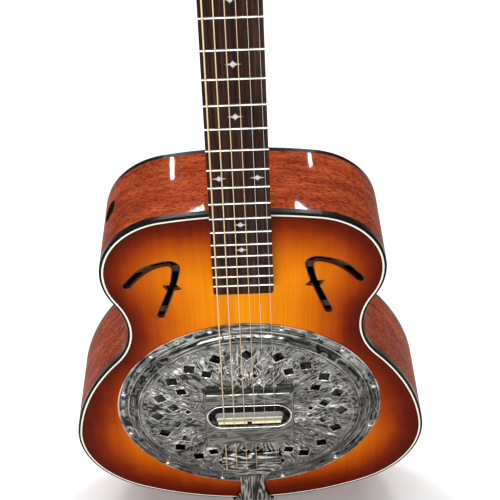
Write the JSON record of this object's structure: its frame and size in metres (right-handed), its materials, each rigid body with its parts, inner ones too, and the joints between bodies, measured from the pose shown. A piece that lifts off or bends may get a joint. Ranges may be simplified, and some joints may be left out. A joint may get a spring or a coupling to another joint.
{
  "type": "resonator guitar",
  "caption": "Resonator guitar with a sunburst wooden body, hook-shaped sound holes, a round chromed cover plate with diamond holes, hand rest and tailpiece.",
  "frame": {"origin": "centre plane at the front edge of the nut, level with the soundboard's face; the yoke of a wall hanger holds the neck here", "axes": "+X towards the thinnest string, +Y from the soundboard to the back, +Z from the body up the neck"},
  "size_m": [0.3832, 0.1142, 1.015],
  "materials": {
    "top_lacquer": "gloss",
    "body_lacquer": "gloss",
    "neck_lacquer": "gloss",
    "binding_black": "gloss",
    "purfling_cream": "gloss",
    "inner_wood": "satin",
    "spun_aluminium": "satin",
    "cast_aluminium": "satin",
    "saddle_maple": "satin",
    "chrome_plate": "polished",
    "screw_steel": "satin",
    "strap_metal": "polished",
    "cap_black": "gloss",
    "rosewood": "satin",
    "pearl": "gloss",
    "fret_wire": "polished",
    "bone": "satin",
    "brass_nut": "satin",
    "tuner_metal": "polished",
    "tuner_key_metal": "polished",
    "wound_bronze": "satin",
    "plain_steel": "polished"
  },
  "bodies": {
    "guitar": {"back": "body_lacquer", "binding_back": "binding_black", "binding_top": "binding_black", "braces_back": "inner_wood", "braces_top": "inner_wood", "cone": "spun_aluminium", "cone_nut": "screw_steel", "coverplate": "chrome_plate", "coverplate_screws": "screw_steel", "extension_shim": "inner_wood", "fret_inlays": "pearl", "fretboard": "rosewood", "frets": "fret_wire", "hand_rest": "chrome_plate", "headstock_screws": "screw_steel", "headstock_veneer": "cap_black", "lining_back": "inner_wood", "lining_top": "inner_wood", "neck": "neck_lacquer", "neck_block": "inner_wood", "neck_bolts": "screw_steel", "nut": "bone", "purfling_top": "purfling_cream", "saddle_bass": "saddle_maple", "saddle_treble": "saddle_maple", "side_bass": "body_lacquer", "side_cap": "cap_black", "side_treble": "body_lacquer", "soundboard": "top_lacquer", "soundwell": "inner_wood", "spider": "cast_aluminium", "strap_button": "strap_metal", "string_1": "wound_bronze", "string_2": "wound_bronze", "string_3": "wound_bronze", "string_4": "wound_bronze", "string_5": "plain_steel", "string_6": "plain_steel", "tail_block": "inner_wood", "tailpiece": "chrome_plate", "tailpiece_screws": "screw_steel", "truss_rod": "screw_steel", "truss_rod_cover": "cap_black", "tuner_bushings": "tuner_metal", "tuner_housings": "tuner_metal"},
    "tension_screw": {"tension_screw": "screw_steel"},
    "truss_rod_nut": {"truss_rod_nut": "brass_nut"},
    "tuner_key_1": {"tuner_key_1": "tuner_key_metal"},
    "tuner_key_2": {"tuner_key_2": "tuner_key_metal"},
    "tuner_key_3": {"tuner_key_3": "tuner_key_metal"},
    "tuner_key_4": {"tuner_key_4": "tuner_key_metal"},
    "tuner_key_5": {"tuner_key_5": "tuner_key_metal"},
    "tuner_key_6": {"tuner_key_6": "tuner_key_metal"},
    "tuner_post_1": {"tuner_post_1": "tuner_metal"},
    "tuner_post_2": {"tuner_post_2": "tuner_metal"},
    "tuner_post_3": {"tuner_post_3": "tuner_metal"},
    "tuner_post_4": {"tuner_post_4": "tuner_metal"},
    "tuner_post_5": {"tuner_post_5": "tuner_metal"},
    "tuner_post_6": {"tuner_post_6": "tuner_metal"}
  },
  "joints": [
    {"name": "tuner_key_1_turn", "type": "hinge", "parent": "guitar", "child": "tuner_key_1", "pos_m": [-0.037, 0.02304, 0.02879], "axis": [1, 0, 0], "continuous": true},
    {"name": "tuner_post_1_turn", "type": "hinge", "parent": "guitar", "child": "tuner_post_1", "pos_m": [-0.022, 0.00569, 0.04187], "axis": [0, -0.9703, 0.2419], "continuous": true},
    {"name": "tuner_key_2_turn", "type": "hinge", "parent": "guitar", "child": "tuner_key_2", "pos_m": [-0.037, 0.0332, 0.06954], "axis": [1, 0, 0], "continuous": true},
    {"name": "tuner_post_2_turn", "type": "hinge", "parent": "guitar", "child": "tuner_post_2", "pos_m": [-0.0235, 0.01585, 0.08262], "axis": [0, -0.9703, 0.2419], "continuous": true},
    {"name": "tuner_key_3_turn", "type": "hinge", "parent": "guitar", "child": "tuner_key_3", "pos_m": [-0.037, 0.04336, 0.11029], "axis": [1, 0, 0], "continuous": true},
    {"name": "tuner_post_3_turn", "type": "hinge", "parent": "guitar", "child": "tuner_post_3", "pos_m": [-0.025, 0.02601, 0.12338], "axis": [0, -0.9703, 0.2419], "continuous": true},
    {"name": "tuner_key_4_turn", "type": "hinge", "parent": "guitar", "child": "tuner_key_4", "pos_m": [0.037, 0.04336, 0.11029], "axis": [1, 0, 0], "continuous": true},
    {"name": "tuner_post_4_turn", "type": "hinge", "parent": "guitar", "child": "tuner_post_4", "pos_m": [0.025, 0.02601, 0.12338], "axis": [0, -0.9703, 0.2419], "continuous": true},
    {"name": "tuner_key_5_turn", "type": "hinge", "parent": "guitar", "child": "tuner_key_5", "pos_m": [0.037, 0.0332, 0.06954], "axis": [1, 0, 0], "continuous": true},
    {"name": "tuner_post_5_turn", "type": "hinge", "parent": "guitar", "child": "tuner_post_5", "pos_m": [0.0235, 0.01585, 0.08262], "axis": [0, -0.9703, 0.2419], "continuous": true},
    {"name": "tuner_key_6_turn", "type": "hinge", "parent": "guitar", "child": "tuner_key_6", "pos_m": [0.037, 0.02304, 0.02879], "axis": [1, 0, 0], "continuous": true},
    {"name": "tuner_post_6_turn", "type": "hinge", "parent": "guitar", "child": "tuner_post_6", "pos_m": [0.022, 0.00569, 0.04187], "axis": [0, -0.9703, 0.2419], "continuous": true},
    {"name": "truss_rod_nut_turn", "type": "hinge", "parent": "guitar", "child": "truss_rod_nut", "pos_m": [0, 0.004, 0.008], "axis": [0, 0, 1], "range_deg": [-180, 180]},
    {"name": "tension_screw_turn", "type": "hinge", "parent": "guitar", "child": "tension_screw", "pos_m": [0, -0.0045, -0.652], "axis": [0, 1, 0], "range_deg": [-180, 180]}
  ],
  "couplings": [
    {"joint": "tuner_post_1_turn", "follows": "tuner_key_1_turn", "ratio": -0.071429},
    {"joint": "tuner_post_2_turn", "follows": "tuner_key_2_turn", "ratio": -0.071429},
    {"joint": "tuner_post_3_turn", "follows": "tuner_key_3_turn", "ratio": -0.071429},
    {"joint": "tuner_post_4_turn", "follows": "tuner_key_4_turn", "ratio": 0.071429},
    {"joint": "tuner_post_5_turn", "follows": "tuner_key_5_turn", "ratio": 0.071429},
    {"joint": "tuner_post_6_turn", "follows": "tuner_key_6_turn", "ratio": 0.071429}
  ]
}
